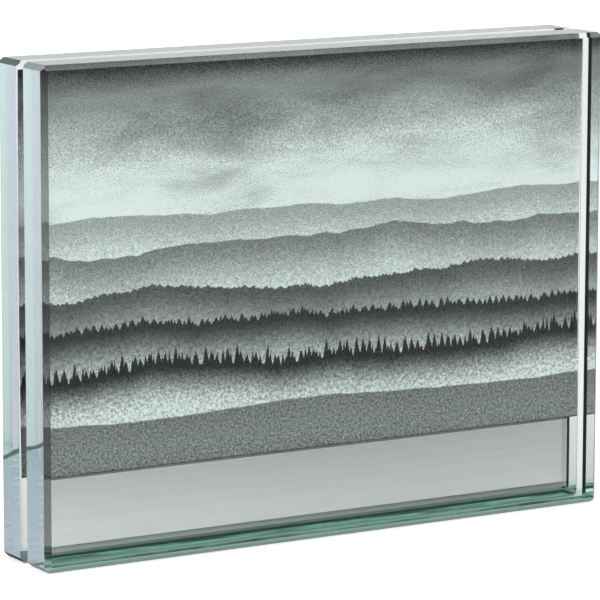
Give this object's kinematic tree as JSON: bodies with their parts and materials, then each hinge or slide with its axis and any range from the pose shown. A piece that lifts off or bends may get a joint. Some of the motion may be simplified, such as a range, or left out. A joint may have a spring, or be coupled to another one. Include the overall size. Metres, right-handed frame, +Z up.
{
  "type": "glass picture frame",
  "caption": "Free-standing picture frame of two bevelled clear glass blocks bonded to a brushed metal spacer bar, with an open slot that holds a loose photo print.",
  "frame": {"origin": "centre of the underside, midway between the front and back faces", "axes": "+X along the width, to the right seen from the front; +Y from the front face to the back; +Z up"},
  "size_m": [0.151, 0.0226, 0.115],
  "materials": {
    "clear_glass": "polished, with polished bevels",
    "brushed_metal": "fine brushing along the width",
    "adhesive": "clear cured film",
    "photo_paper": "satin photo paper"
  },
  "bodies": {
    "frame": {"front_glass": "clear_glass", "rear_glass": "clear_glass", "spacer_bar": "brushed_metal", "front_adhesive": "adhesive", "rear_adhesive": "adhesive"},
    "print": {"photo_print": "photo_paper"}
  },
  "joints": [
    {"name": "print_slide", "type": "slide", "parent": "frame", "child": "print", "axis": [0, 0, 1], "range_m": [0, 0.1]}
  ]
}
